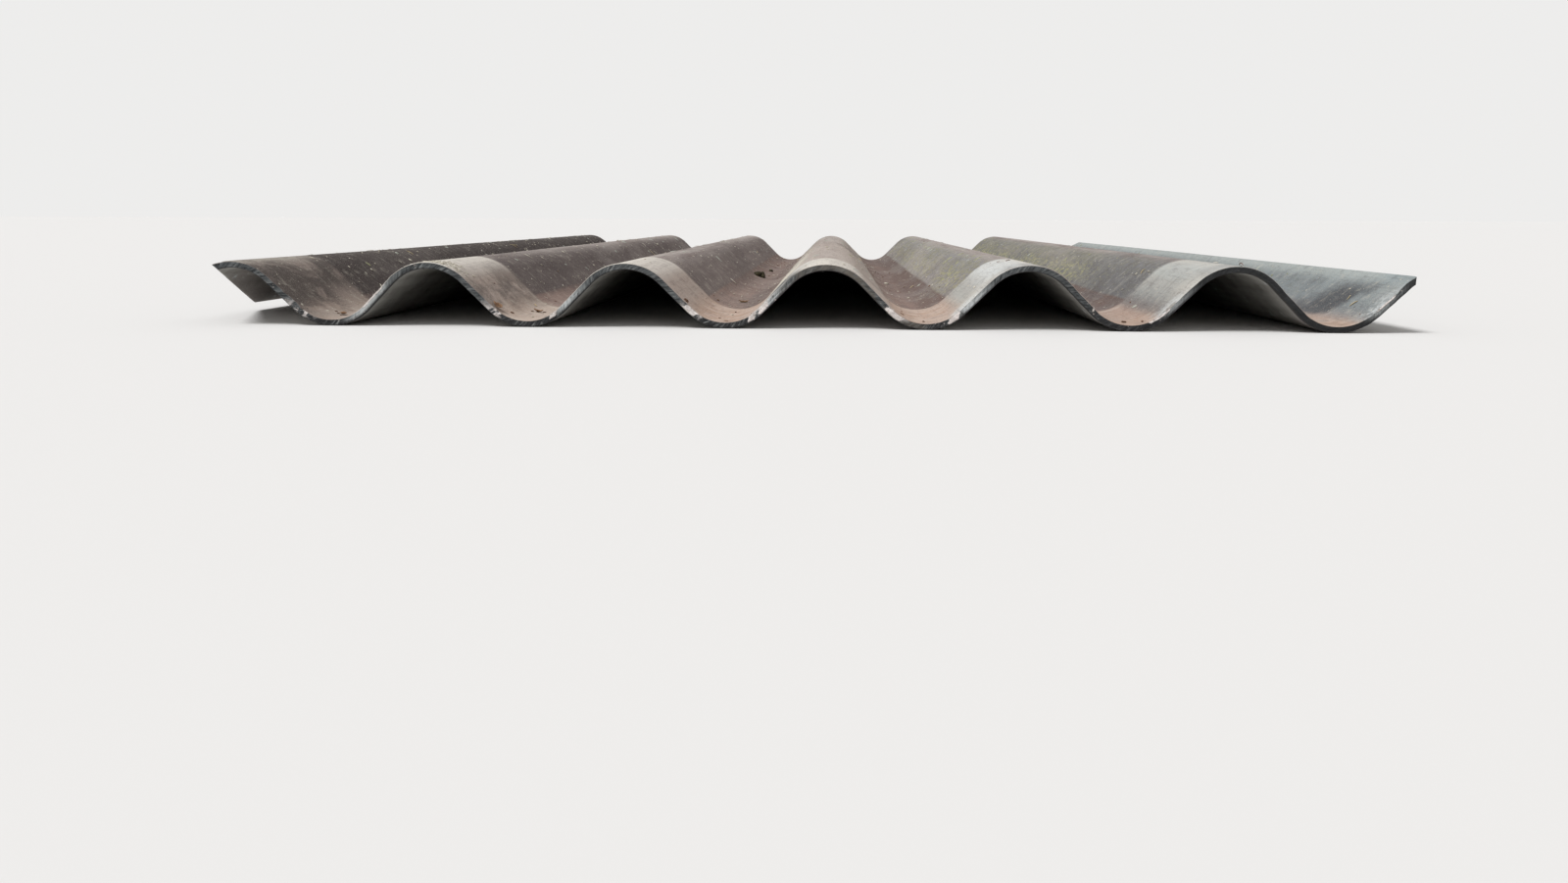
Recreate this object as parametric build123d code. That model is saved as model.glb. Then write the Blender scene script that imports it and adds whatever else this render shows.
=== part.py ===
from build123d import *
import os
from math import cos, radians, sin

# Corrugated fibre-cement roofing sheet, lying valleys down on level ground.
# Frame in millimetres: X across the waves, Y along them with the front end at -Y, Z up.
# The origin is the middle of the footprint, at the level of the valley bottoms.

# The wave, measured on the middle of the sheet's thickness
pitch = 177.0
wave_height = 51.0
flank_angle = 45.0
thickness = 6.0

# The sheet's outline, seen from above
crest_count = 6
low_edge_from_crest = 61.5
high_edge_from_valley = 62.0
sheet_length = 1525.0

# The corners taken off so that four lapped sheets don't pile up where they meet
side_lap = 47.0
end_lap = 150.0

# Worked out from the values above
half_pitch = pitch / 2
flank = radians(flank_angle)
bend_radius = (half_pitch * sin(flank) - wave_height * cos(flank)) / (2 * (1 - cos(flank)))
mid_height = (wave_height + thickness) / 2
overall_height = wave_height + thickness
sheet_width = low_edge_from_crest + (2 * crest_count - 1) * half_pitch + high_edge_from_valley
low_edge_x = -sheet_width / 2
high_edge_x = sheet_width / 2
front_y = -sheet_length / 2
back_y = sheet_length / 2
first_crest_x = low_edge_x + low_edge_from_crest


def bend_x(index):
    """Middle of a bend, counted from the valley before the first crest, so that odd bends are crests."""
    return first_crest_x + (index - 1) * half_pitch


def is_crest(index):
    return index % 2 == 1


def bend_arc(index, side):
    """Arc of one bend on the upper face (side 1) or the lower face (side -1), drawn left to right."""
    direction = 1 if is_crest(index) else -1
    centre = (bend_x(index), mid_height + direction * (wave_height / 2 - bend_radius))
    radius = bend_radius + direction * side * thickness / 2
    return CenterArc(centre, radius, direction * (90 + flank_angle), -direction * 2 * flank_angle)


def face_line(side):
    """One face of the sheet in section: an arc at each bend, joined by straight tangent flanks."""
    bends = range(2 * crest_count + 2)
    arcs = [bend_arc(index, side) for index in bends]
    flanks = [Line(left @ 1, right @ 0) for left, right in zip(arcs, arcs[1:])]
    return arcs + flanks, arcs[0] @ 0, arcs[-1] @ 1


def wave_section():
    """The section between the two faces, from the valley before the first crest to the crest after the
    last valley."""
    upper, upper_start, upper_end = face_line(1)
    lower, lower_start, lower_end = face_line(-1)
    ends = [Line(upper_start, lower_start), Line(upper_end, lower_end)]
    return make_face(upper + lower + ends)


def surface_z(x):
    """Height of the middle of the thickness at x, read on the arc or flank that lies there."""
    index = round((x - bend_x(0)) / half_pitch)
    direction = 1 if is_crest(index) else -1
    offset = abs(x - bend_x(index))
    arc_half_width = bend_radius * sin(flank)
    if offset <= arc_half_width:
        drop = bend_radius - (bend_radius**2 - offset**2) ** 0.5
    else:
        drop = bend_radius * (1 - cos(flank)) + (offset - arc_half_width) * sin(flank) / cos(flank)
    return mid_height + direction * (wave_height / 2 - drop)


def corner_cut(end_x, end_y, edge_x, edge_y):
    """Plane of a corner cut, from a point on an end to a point on a long edge, square to the flank."""
    on_end = Vector(end_x, end_y, surface_z(end_x))
    on_edge = Vector(edge_x, edge_y, surface_z(edge_x))
    run = on_edge - on_end
    flank_normal = Vector(-sin(flank), 0, cos(flank))
    return Plane(origin=on_end, x_dir=run, z_dir=run.cross(flank_normal))


def corrugated_sheet():
    """The wave run along Y, trimmed to its width, with two opposite corners cut off."""
    wave = extrude(Plane.XZ * wave_section(), sheet_length / 2, both=True)
    trim = Box(sheet_width, sheet_length, overall_height, align=(Align.CENTER, Align.CENTER, Align.MIN))
    sheet = wave & trim
    front_corner = corner_cut(low_edge_x + side_lap, front_y, low_edge_x, front_y + end_lap)
    back_corner = corner_cut(high_edge_x - side_lap, back_y, high_edge_x, back_y - end_lap)
    sheet = split(sheet, bisect_by=front_corner, keep=Keep.TOP)
    return split(sheet, bisect_by=back_corner, keep=Keep.TOP)


os.makedirs("parts", exist_ok=True)
export_step(corrugated_sheet(), "parts/corrugated_sheet.step")
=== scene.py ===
from math import cos, pi, radians, sin

import bmesh
import bpy
import numpy as np
from mathutils import Matrix, Vector
from numpy.random import default_rng


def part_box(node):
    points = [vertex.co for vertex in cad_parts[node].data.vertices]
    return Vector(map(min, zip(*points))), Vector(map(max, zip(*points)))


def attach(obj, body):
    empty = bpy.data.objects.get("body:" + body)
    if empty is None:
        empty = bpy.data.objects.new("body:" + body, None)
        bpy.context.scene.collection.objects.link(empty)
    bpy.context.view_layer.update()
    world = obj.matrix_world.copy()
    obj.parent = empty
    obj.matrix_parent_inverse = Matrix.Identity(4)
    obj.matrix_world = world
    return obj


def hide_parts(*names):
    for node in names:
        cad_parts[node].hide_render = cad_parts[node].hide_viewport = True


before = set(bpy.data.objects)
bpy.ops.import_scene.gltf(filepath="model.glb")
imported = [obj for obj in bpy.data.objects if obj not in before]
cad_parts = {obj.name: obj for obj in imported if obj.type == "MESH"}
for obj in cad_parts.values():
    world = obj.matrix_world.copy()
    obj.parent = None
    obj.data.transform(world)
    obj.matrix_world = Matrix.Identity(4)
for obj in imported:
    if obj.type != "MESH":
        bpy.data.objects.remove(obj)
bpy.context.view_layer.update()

# The wave, on the middle of the sheet's thickness, in metres
pitch = 0.177
wave_height = 0.051
thickness = 0.006
flank = radians(45)
crest_count = 6
low_edge_from_crest = 0.0615

# The two cut corners, and the end that the next sheet up the roof used to cover
side_lap = 0.047
end_lap = 0.150

# The outline, from the frame
sheet_low, sheet_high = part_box("corrugated_sheet")
low_edge_x, front_y = sheet_low.x, sheet_low.y
high_edge_x, back_y = sheet_high.x, sheet_high.y

# Worked out from the values above
half_pitch = pitch / 2
bend_radius = (half_pitch * sin(flank) - wave_height * cos(flank)) / (2 * (1 - cos(flank)))
straight_run = (half_pitch - 2 * bend_radius * sin(flank)) / cos(flank)
bend_run = 2 * bend_radius * flank + straight_run
mid_height = (wave_height + thickness) / 2
valley_floor = thickness
crest_top = wave_height + thickness
first_valley_x = low_edge_x + low_edge_from_crest - half_pitch

# How finely the sheet is divided: across the waves, along them and through the thickness
columns = 860
rows = 42
layers = 9


def mid_section(run):
    """Middle of the thickness after a developed distance run from the valley before the first crest.

    Bends lie every bend_run, valleys and crests by turns. Within a bend's half arc the slope grows with the
    distance from its middle over the radius, and past it the flank goes straight on at the flank angle."""
    bend = np.round(run / bend_run)
    up = np.where(bend % 2 == 1, 1.0, -1.0)
    local = run - bend * bend_run
    turn = np.minimum(np.abs(local) / bend_radius, flank)
    past = np.abs(local) - turn * bend_radius
    out = bend_radius * np.sin(turn) + past * cos(flank)
    drop = bend_radius * (1 - np.cos(turn)) + past * sin(flank)
    x = first_valley_x + bend * half_pitch + np.sign(local) * out
    z = mid_height + up * (wave_height / 2 - drop)
    slope = -up * np.sign(local) * turn
    return x, z, slope


def face_section(run, offset):
    """A face of the sheet in section: the middle line moved by offset square to its slope."""
    x, z, slope = mid_section(run)
    return x - np.sin(slope) * offset, z + np.cos(slope) * offset


def run_at(x_wanted, offset):
    """The developed distance at which a face reaches x_wanted, read back from a fine table of x."""
    table = np.linspace(0, (2 * crest_count + 1) * bend_run, 20001)
    return np.interp(x_wanted, face_section(table, offset)[0], table)


def side_by_side(*values):
    """Arrays joined along a new last axis, such as x, y and z."""
    return np.stack(np.broadcast_arrays(*values), axis=-1)


def on_weather_face(run, y, height):
    """Places a height above the upper face, square to it, at a developed distance run and at y."""
    x, z = face_section(run, thickness / 2 + height)
    return side_by_side(x, y, z)


def smooth_noise(across, along, step_across, step_along, seed):
    """Noise from -1 to 1 over two arrays of places: random heights on a lattice with the given steps,
    blended between its points with smooth steps."""
    a = np.asarray(across) / step_across
    b = np.asarray(along) / step_along
    a, b = np.broadcast_arrays(a - a.min(), b - b.min())
    a0, b0 = np.floor(a).astype(int), np.floor(b).astype(int)
    lattice = default_rng(seed).uniform(-1, 1, (a0.max() + 2, b0.max() + 2))
    fa, fb = a - a0, b - b0
    fa, fb = fa * fa * (3 - 2 * fa), fb * fb * (3 - 2 * fb)
    low = lattice[a0, b0] * (1 - fa) + lattice[a0 + 1, b0] * fa
    high = lattice[a0, b0 + 1] * (1 - fa) + lattice[a0 + 1, b0 + 1] * fa
    return low * (1 - fb) + high * fb


def corner_plane(end_x, end_y, edge_x, edge_y):
    """A point and the normal of a corner cut from an end to a long edge, square to the flank."""
    heights = [mid_section(run_at(np.array([x]), 0))[1][0] for x in (end_x, edge_x)]
    on_end = Vector((end_x, end_y, heights[0]))
    on_edge = Vector((edge_x, edge_y, heights[1]))
    normal = (on_edge - on_end).cross(Vector((-sin(flank), 0, cos(flank))))
    return on_end, normal


front_corner = corner_plane(low_edge_x + side_lap, front_y, low_edge_x, front_y + end_lap)
back_corner = corner_plane(high_edge_x - side_lap, back_y, high_edge_x, back_y - end_lap)


def cut_y(corner, x, z):
    """The y at which a corner cut's plane passes over or under a point of the section."""
    point, normal = corner
    return point.y - (normal.x * (x - point.x) + normal.z * (z - point.z)) / normal.y


# Chips on the ends' upper arrises: where along x, half their width, and how far they reach in
front_chips = (
    (-0.4985, 0.003, 0.004), (-0.486, 0.004, 0.0016), (-0.444, 0.0035, 0.0018), (-0.433, 0.007, 0.0036),
    (-0.4215, 0.004, 0.0022), (-0.352, 0.0035, 0.0012), (-0.25, 0.0045, 0.0026),
    (-0.156, 0.0045, 0.0014), (-0.074, 0.006, 0.0024), (-0.016, 0.005, 0.0022), (0.088, 0.0035, 0.0017),
    (0.1, 0.0045, 0.0026), (0.18, 0.0065, 0.0018), (0.264, 0.0045, 0.0016), (0.282, 0.003, 0.002),
    (0.356, 0.006, 0.0014), (0.442, 0.005, 0.0018), (0.54, 0.006, 0.0026),
)
back_chips = (
    (-0.542, 0.008, 0.005), (-0.46, 0.005, 0.0024), (-0.31, 0.011, 0.0032), (-0.125, 0.005, 0.002),
    (0.044, 0.0085, 0.004), (0.06, 0.004, 0.0024), (0.235, 0.005, 0.002), (0.39, 0.009, 0.003),
    (0.47, 0.004, 0.002),
)


def chip_depth(x, chips):
    """How far the chips reach in at x: each is a smooth bowl, deepest in its middle."""
    depth = np.zeros_like(x)
    for centre, half_width, reach in chips:
        bowl = np.clip(1 - ((x - centre) / half_width) ** 2, 0, 1)
        depth = np.maximum(depth, reach * bowl**0.7)
    return depth


def ragged(run, seed, coarse, fine):
    """An uneven broken line along an edge: a slow wander and a finer tear, never outwards."""
    slow_step, quick_step = 0.035, 0.0042
    slow = smooth_noise(run, np.zeros(1), slow_step, 1, seed)
    quick = smooth_noise(run, np.zeros(1), quick_step, 1, seed + 1)
    return coarse * (0.5 + 0.5 * slow) + fine * np.clip(quick, 0, 1)


def end_lines(side):
    """Developed distances spaced evenly over a face, and the y there of its broken front and back lines."""
    offset = side * thickness / 2
    share = np.linspace(0, 1, columns)
    run = run_at(low_edge_x, offset) + share * (run_at(high_edge_x, offset) - run_at(low_edge_x, offset))
    x, z = face_section(run, offset)
    seed = 40 if side > 0 else 60
    worn = 0.0008 if side > 0 else 0.0005
    front = np.maximum(front_y, cut_y(front_corner, x, z)) + ragged(run, seed, 0.0006, worn)
    back = np.minimum(back_y, cut_y(back_corner, x, z)) - ragged(run, seed + 5, 0.0008, worn)
    if side > 0:
        front = front + chip_depth(x, front_chips)
        back = back - chip_depth(x, back_chips)
    return run, front, back


def face_grid(side):
    """The weather face (side 1) or the under face (side -1) as a grid of columns by rows.

    Columns are spaced evenly over the developed width. In each, rows run from the front line to the back
    line, close together at both. Near an end the face is worn down by a rounding that grows with the
    square of the nearness, and it is slowly uneven by a few tenths of a millimetre."""
    offset = side * thickness / 2
    run, front, back = end_lines(side)
    place = np.linspace(-1, 1, rows)
    reach = 0.5 + 0.5 * np.sign(place) * (1 - (1 - np.abs(place)) ** 2.4)
    y = front[:, None] + reach[None, :] * (back - front)[:, None]
    from_end = np.minimum(reach[None, :], 1 - reach[None, :]) * (back - front)[:, None]
    wear, wear_reach, unevenness = 0.0006, 0.0016, 0.00025
    rounding = wear * np.clip(1 - from_end / wear_reach, 0, 1) ** 2
    uneven = unevenness * smooth_noise(run[:, None], y, 0.05, 0.17, 49 if side > 0 else 69)
    uneven = uneven if side > 0 else np.abs(uneven)
    lift = offset - side * rounding + uneven * np.clip(from_end / 0.01, 0, 1)
    x, z = face_section(np.broadcast_to(run[:, None], y.shape), lift)
    return side_by_side(np.clip(x, low_edge_x, high_edge_x), y, z), run


# Whole patches of lime crust on the front edge: where along x, half their width, and how far down they go
crust_patches = (
    (-0.358, 0.013, 0.0022), (-0.196, 0.004, 0.005), (-0.074, 0.006, 0.009), (-0.019, 0.004, 0.008),
    (-0.009, 0.0052, 0.0075), (0.106, 0.0088, 0.009), (0.1585, 0.006, 0.008), (0.335, 0.012, 0.002),
    (0.527, 0.009, 0.0018),
)


def crust_cover(x, down):
    """How thick the crust lies at x and down from the upper face, from 0 to 1, falling to the rims."""
    cover = np.zeros(np.broadcast(x, down).shape)
    for middle, half_width, depth in crust_patches:
        across = np.clip(2.2 * (1 - np.abs(x - middle) / half_width), 0, 1)
        cover = np.maximum(cover, across * np.clip(2.2 * (1 - down / depth), 0, 1))
    return cover


def end_strip(top_line, bottom_line, outward, along, seed, crust=0.0):
    """The inner rows of a cut end between the lines of its two faces.

    Each row lies a share of the way down. It is pushed out by a layered noise, long along the wave and
    short through the thickness, and by fine tears, both nothing at the two faces, and by the crust."""
    share = np.arange(1, layers) / layers
    lines = top_line[:, None] * (1 - share[None, :, None]) + bottom_line[:, None] * share[None, :, None]
    bulge = np.sqrt(4 * share * (1 - share))
    layered = smooth_noise(along[:, None], share[None, :], 0.022, 0.16, seed)
    torn = smooth_noise(along[:, None], share[None, :], 0.0034, 0.30, seed + 1)
    least, layer_depth, tear_depth, crust_depth = 0.0001, 0.00034, 0.00026, 0.0006
    push = bulge * (least + layer_depth * layered + tear_depth * torn + crust_depth * crust)
    return lines + push[..., None] * np.asarray(outward)


def quads(index, flip=False):
    """Faces of a grid of vertex numbers, or of any other grid that is given per vertex."""
    corners = [index[:-1, :-1], index[1:, :-1], index[1:, 1:], index[:-1, 1:]]
    if flip:
        corners.reverse()
    return np.stack(corners, axis=2).reshape(-1, 4, *index.shape[2:])


def point_values(mesh, name, values):
    """Stores a number for each vertex, for the materials to read by its name."""
    mesh.attributes.new(name, "FLOAT", "POINT").data.foreach_set("value", values.astype(np.float32))


def new_object(name, corners, faces, materials, slot_of_face=None, uv=None):
    """An object at the origin from arrays of corners and faces, smooth, with its materials."""
    corners = corners.reshape(-1, 3)
    mesh = bpy.data.meshes.new(name)
    mesh.from_pydata(corners.tolist(), [], faces if isinstance(faces, list) else faces.tolist())
    for material in materials:
        mesh.materials.append(material)
    if slot_of_face is not None:
        mesh.polygons.foreach_set("material_index", slot_of_face.astype(np.int32))
    if uv is not None:
        mesh.uv_layers.new(name="surface").data.foreach_set("uv", uv.astype(np.float32).ravel())
    point_values(mesh, "tilt", mid_section(run_at(corners[:, 0], 0))[2] / flank)
    mesh.polygons.foreach_set("use_smooth", np.ones(len(faces), dtype=bool))
    mesh.update()
    made = bpy.data.objects.new(name, mesh)
    bpy.context.scene.collection.objects.link(made)
    return made


def part_of_sheet(piece):
    """Lets a piece move with the sheet, under the same root body."""
    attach(piece, "root")
    return piece


def sheet_piece(materials):
    """The whole sheet as one closed shell: two faces, and a strip of torn layers round all four edges.

    The faces' border lines are shared with the strips. Its map holds metres: across and along on the
    faces, along the edge and through the thickness on the strips."""
    top, run = face_grid(1)
    bottom, _ = face_grid(-1)
    top_index = np.arange(columns * rows).reshape(columns, rows)
    bottom_index = top_index + columns * rows
    parts = [top.reshape(-1, 3), bottom.reshape(-1, 3)]

    def inner(line, outward, along, seed, crust=0.0):
        """Adds the inner rows between a line of both faces to the parts; returns their vertex numbers."""
        strip = end_strip(top[line], bottom[line], outward, along, seed, crust)
        first = sum(len(part) for part in parts)
        parts.append(strip.reshape(-1, 3))
        return first + np.arange(len(parts[-1])).reshape(strip.shape[:2])

    def strip_index(line, middle):
        """Vertex numbers of a whole strip: the upper face's line, the inner rows and the lower line."""
        return np.column_stack([top_index[line], middle, bottom_index[line]])

    edge_x = mid_section(run)[0][:, None]
    crust = crust_cover(edge_x, thickness * np.arange(1, layers) / layers)
    between = slice(1, rows - 1)
    front = inner(np.s_[:, 0], (0, -1, 0), run, 81, crust)
    back = inner(np.s_[:, -1], (0, 1, 0), run, 83)
    low = inner(np.s_[0, between], (-1, 0, 0), top[0, between, 1], 85)
    high = inner(np.s_[-1, between], (1, 0, 0), top[-1, between, 1], 87)
    low = np.concatenate([front[:1], low, back[:1]])
    high = np.concatenate([front[-1:], high, back[-1:]])

    through = np.linspace(0, thickness, layers + 1)
    face_map = side_by_side(run[:, None], top[..., 1])
    end_map = side_by_side(run[:, None], through)
    edge_map = side_by_side(top[0, :, 1][:, None], through)
    regions = [
        (top_index, False, 0, face_map),
        (bottom_index, True, 1, face_map),
        (strip_index(np.s_[:, 0], front), True, 2, end_map),
        (strip_index(np.s_[:, -1], back), False, 2, end_map),
        (strip_index(0, low), False, 2, edge_map),
        (strip_index(-1, high), True, 2, edge_map),
    ]
    faces = np.concatenate([quads(index, flip) for index, flip, _, _ in regions])
    slots = np.concatenate([np.full(len(quads(index)), slot) for index, _, slot, _ in regions])
    uv = np.concatenate([quads(grid, flip) for _, flip, _, grid in regions])
    made = new_object("weathered_sheet", np.concatenate(parts), faces, materials, slots, uv)
    made.data.set_sharp_from_angle(angle=radians(48))
    crust_values = np.zeros(len(made.data.vertices))
    crust_values[top_index[:, 0]] = crust_cover(edge_x[:, 0], 0.0)
    crust_values[front] = crust
    point_values(made.data, "crust", crust_values)
    return made


class Value:
    """A number or a colour that varies over the surface, with the arithmetic that adds nodes to it."""

    def __init__(self, paint, socket):
        self.paint = paint
        self.socket = socket

    def __add__(self, other):
        return self.paint.math("ADD", self, other)

    def __sub__(self, other):
        return self.paint.math("SUBTRACT", self, other)

    def __rsub__(self, other):
        return self.paint.math("SUBTRACT", other, self)

    def __mul__(self, other):
        return self.paint.math("MULTIPLY", self, other)

    def larger(self, other):
        """The larger of two."""
        return self.paint.math("MAXIMUM", self, other)

    def sway(self, amount):
        """A noise around its middle, as plus or minus amount."""
        return (self - 0.5) * (2 * amount)

    def ramp(self, start, end, shape="SMOOTHSTEP"):
        """0 at start, 1 at end, smooth between them; start may be the larger."""
        values = {"Value": self, "From Min": start, "From Max": end}
        return self.paint.value("ShaderNodeMapRange", values, interpolation_type=shape)

    def band(self, start, first, last, end):
        """0 up to start, 1 from first to last, 0 again from end."""
        return self.ramp(start, first) * self.ramp(end, last)

    def hill(self, start, middle, end):
        """0 up to start, 1 at middle, 0 again from end."""
        return self.band(start, middle, middle, end)

    def coated(self, *coats):
        """This colour under coats, from the lowest up, each a colour and the share that it covers."""
        colour = self
        for coat, share in coats:
            colour = self.paint.mix(share, colour, coat)
        return colour


class Paint:
    """Builds one material: each call adds a node and returns its output as a Value."""

    def __init__(self, name):
        self.material = bpy.data.materials.new(name)
        self.material.use_nodes = True
        self.tree = self.material.node_tree
        self.coordinates = self.value("ShaderNodeTexCoord", {}, "Object")

    def put(self, socket, value):
        """Sets a node's input to a number or a tuple, or links it to a Value."""
        if isinstance(value, Value):
            self.tree.links.new(value.socket, socket)
        elif isinstance(value, tuple) and len(socket.default_value) == 4:
            socket.default_value = (*value, 1.0)
        else:
            socket.default_value = value

    def node(self, kind, inputs, **settings):
        """A new node with its settings and inputs."""
        made = self.tree.nodes.new(kind)
        for key, value in settings.items():
            setattr(made, key, value)
        for key, value in inputs.items():
            self.put(made.inputs[key], value)
        return made

    def value(self, kind, inputs, output=0, **settings):
        """An output of a new node."""
        return Value(self, self.node(kind, inputs, **settings).outputs[output])

    def math(self, operation, a, b):
        """One operation on two numbers."""
        return self.value("ShaderNodeMath", {0: a, 1: b}, operation=operation)

    def mix(self, share, a, b):
        """Colour a where the share is 0, b where it is 1, and blended between."""
        return self.value("ShaderNodeMix", {0: share, 6: a, 7: b}, 2, data_type="RGBA")

    def mapped(self, how, by, coordinates=None):
        """Coordinates moved by a vector, how Location, or multiplied by one, how Scale."""
        return self.value("ShaderNodeMapping", {"Vector": coordinates or self.coordinates, how: by})

    def noise(self, scale, detail, rough=0.55, coordinates=None, warp=0.0, output="Fac"):
        """Cloudy noise from 0 to 1, with scale cells to the metre."""
        values = {"Vector": coordinates or self.coordinates, "Scale": scale, "Detail": detail,
                  "Roughness": rough, "Distortion": warp}
        return self.value("ShaderNodeTexNoise", values, output)

    def streaks(self, scales, detail, rough=0.6, coordinates=None, warp=0.0):
        """A noise with a scale of its own along each axis, long where that scale is small."""
        return self.noise(1, detail, rough, self.mapped("Scale", scales, coordinates), warp)

    def attribute(self, name):
        """The number that the mesh holds at each vertex under that name."""
        return self.value("ShaderNodeAttribute", {}, "Fac", attribute_name=name)

    def axes(self, coordinates=None):
        """The three components of a vector, x, y and z if it is a place."""
        split = self.node("ShaderNodeSeparateXYZ", {0: coordinates or self.coordinates})
        return [Value(self, output) for output in split.outputs]

    def cells(self, scale, coordinates=None, feature="F1"):
        """The distance from the nearest cell's middle, and that cell's random colour."""
        values = {"Vector": coordinates or self.coordinates, "Scale": scale}
        made = self.node("ShaderNodeTexVoronoi", values, feature=feature)
        return [Value(self, made.outputs[name]) for name in ("Distance", "Color")]

    def spots(self, scale, radius, coordinates=None, keep=0.5):
        """Round spots: near a cell's middle, in the share keep of the cells; radius is in cells."""
        distance, chance = self.cells(scale, coordinates)
        first, second, _ = self.axes(chance)
        edge = distance - (second * radius + radius * 0.35)
        return edge.ramp(radius * 0.15, -radius * 0.15) * first.ramp(keep, keep - 0.04)

    def wobbly(self, scale, amount):
        """Coordinates pushed about by a noise of that scale, by up to about amount metres."""
        kind = "ShaderNodeVectorMath"
        noise = self.noise(scale, 2, 0.5, output="Color")
        centred = self.value(kind, {0: noise, 1: (0.5, 0.5, 0.5)}, operation="SUBTRACT")
        push = self.value(kind, {0: centred, "Scale": 2 * amount}, operation="SCALE")
        return self.value(kind, {0: self.coordinates, 1: push}, operation="ADD")

    def shade(self, values):
        """Puts values on the shader's inputs, by their names."""
        for name, value in values.items():
            self.put(self.tree.nodes["Principled BSDF"].inputs[name], value)
        return self.material

    def finish(self, colour, height, bump_distance, roughness, shine=0.22):
        """Joins colour, bump and roughness to the shader; shine is small for dusty, porous faces."""
        bump = self.value("ShaderNodeBump", {"Height": height, "Distance": bump_distance, "Strength": 1.0})
        return self.shade({"Base Color": colour, "Roughness": roughness, "Specular IOR Level": shine,
                           "Normal": bump})


# Colours, linear, of the finishes of an old fibre-cement sheet
soot_film = (0.098, 0.079, 0.078)
soot_and_shade_film = (0.05, 0.041, 0.04)
brown_film = (0.225, 0.178, 0.168)
worn_body = (0.345, 0.293, 0.272)
rubbed_crest = (0.45, 0.402, 0.375)
dusty_wave = (0.56, 0.478, 0.425)
dusty_cream = (0.74, 0.695, 0.6)
algae_grey = (0.212, 0.21, 0.212)
algae_pale = (0.34, 0.338, 0.34)
algae_green = (0.25, 0.244, 0.165)
algae_dark = (0.122, 0.126, 0.136)
lichen_yellow = (0.44, 0.43, 0.205)
silt_dry = (0.35, 0.25, 0.213)
silt_damp = (0.228, 0.154, 0.134)
silt_dark = (0.11, 0.072, 0.064)
covered_cream = (0.68, 0.625, 0.545)
covered_white = (0.8, 0.765, 0.705)
covered_brown = (0.46, 0.372, 0.325)
covered_grey = (0.455, 0.455, 0.43)
covered_cool = (0.47, 0.5, 0.48)
covered_sooty = (0.1, 0.084, 0.077)
cool_film = (0.29, 0.362, 0.39)
pink_dust = (0.56, 0.43, 0.36)
orange_dust = (0.46, 0.315, 0.24)
grey_dust = (0.47, 0.41, 0.36)
pale_fleck = (0.6, 0.56, 0.48)
slate_stain = (0.076, 0.084, 0.094)
pit_black = (0.045, 0.036, 0.032)
edge_valley_dark = (0.038, 0.038, 0.041)
edge_slate = (0.098, 0.106, 0.11)
edge_light = (0.29, 0.3, 0.296)
edge_brown = (0.2, 0.175, 0.148)
edge_black = (0.022, 0.022, 0.023)
lime_bloom = (0.69, 0.72, 0.72)
lime_crust = (0.9, 0.84, 0.81)
crust_shade = (0.62, 0.55, 0.515)
bare_cement = (0.36, 0.35, 0.325)
damp_cement = (0.19, 0.18, 0.164)


def weather_face():
    """The upper face's material, with the measures, noises and zones that its layers of colour share."""
    face = Paint("weather_face")
    face.x, face.y, z = face.axes()
    face.tilt = face.attribute("tilt")
    face.rise = z.ramp(valley_floor, crest_top, "LINEAR")
    face.from_front = face.y - front_y
    face.patches = face.noise(5, 3)
    face.mottle = face.noise(38, 5, 0.6)
    face.fine = face.noise(230, 4, 0.62)
    face.grit = face.noise(1000, 2)
    face.runs = face.streaks((80, 4, 80), 5)
    face.strokes = face.streaks((150, 75, 260), 4, 0.65)
    face.smudges = face.streaks((24, 13, 24), 5, 0.65, warp=0.8)
    face.to_low_edge = face.tilt.ramp(0.1, 0.7)
    face.to_high_edge = face.tilt.ramp(-0.1, -0.8)
    face.first_wave = face.x.ramp(-0.36, -0.43)
    wandering_x = face.x + (face.patches.sway(0.03) + face.mottle.sway(0.012))
    face.fourth_wave = wandering_x.ramp(-0.06, -0.022) * face.x.ramp(0.128, 0.098)
    face.streak = face.x.band(-0.024, -0.014, 0.006, 0.026)
    face.high_flank = face.x.ramp(0.495, 0.515)
    swaying_x = face.x + face.patches.sway(0.1)
    # Towards the low edge: soot, and painted shade where that part lies darker
    face.sooty = swaying_x.ramp(-0.08, -0.5)
    face.algae_home = face.to_low_edge * swaying_x.ramp(0.02, 0.24)
    waterline = face.rise + (face.fine.sway(0.015) + face.patches.sway(0.03))
    face.silted = waterline.ramp(0.275, 0.215)
    face.border = face.from_front + (face.patches.sway(0.01) + face.fine.sway(0.0016))
    face.covered = face.border.ramp(end_lap + 0.002, end_lap - 0.011)
    return face


def worn_cement(face):
    """Worn cement: sooty and darkened by painted shade towards the low edge and on the flanks that face the
    high edge, rubbed pale along the crests, and dusty on the fourth wave, with painted light on the flanks
    there that face the high edge."""
    y, runs, sooty, to_high_edge = face.y, face.runs, face.sooty, face.to_high_edge
    tone = face.mottle.sway(0.3) + (runs.sway(0.45) + face.patches.sway(0.25))
    crest = face.rise.ramp(0.74, 1)
    rubbed = crest * runs.sway(1).ramp(-0.45, 0.25)
    # Painted light and dust: the flanks that face the high edge take more of the pale dust
    dust_and_painted_light = y.ramp(-0.2, 0.35) * -0.25 + to_high_edge * 0.25 + 0.5
    return face.mix(tone.ramp(-0.28, 0.3), brown_film, worn_body).coated(
        (rubbed_crest, rubbed * 0.85),
        # Painted shade and soot: darker towards the low edge, less so on the crests
        (soot_film, sooty * (crest * -0.66 + 0.92)),
        # Painted shade and soot: darker still on the flanks that face the high edge and on the first wave
        (soot_and_shade_film, sooty * to_high_edge * 0.58),
        (soot_and_shade_film, face.first_wave * 0.6),
        (soot_film, to_high_edge * face.x.ramp(0, -0.07) * 0.44),
        (dusty_wave, face.fourth_wave * dust_and_painted_light),
        (dusty_cream, face.streak * y.hill(-0.7, -0.52, 0.6) * 0.92),
    )


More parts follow.
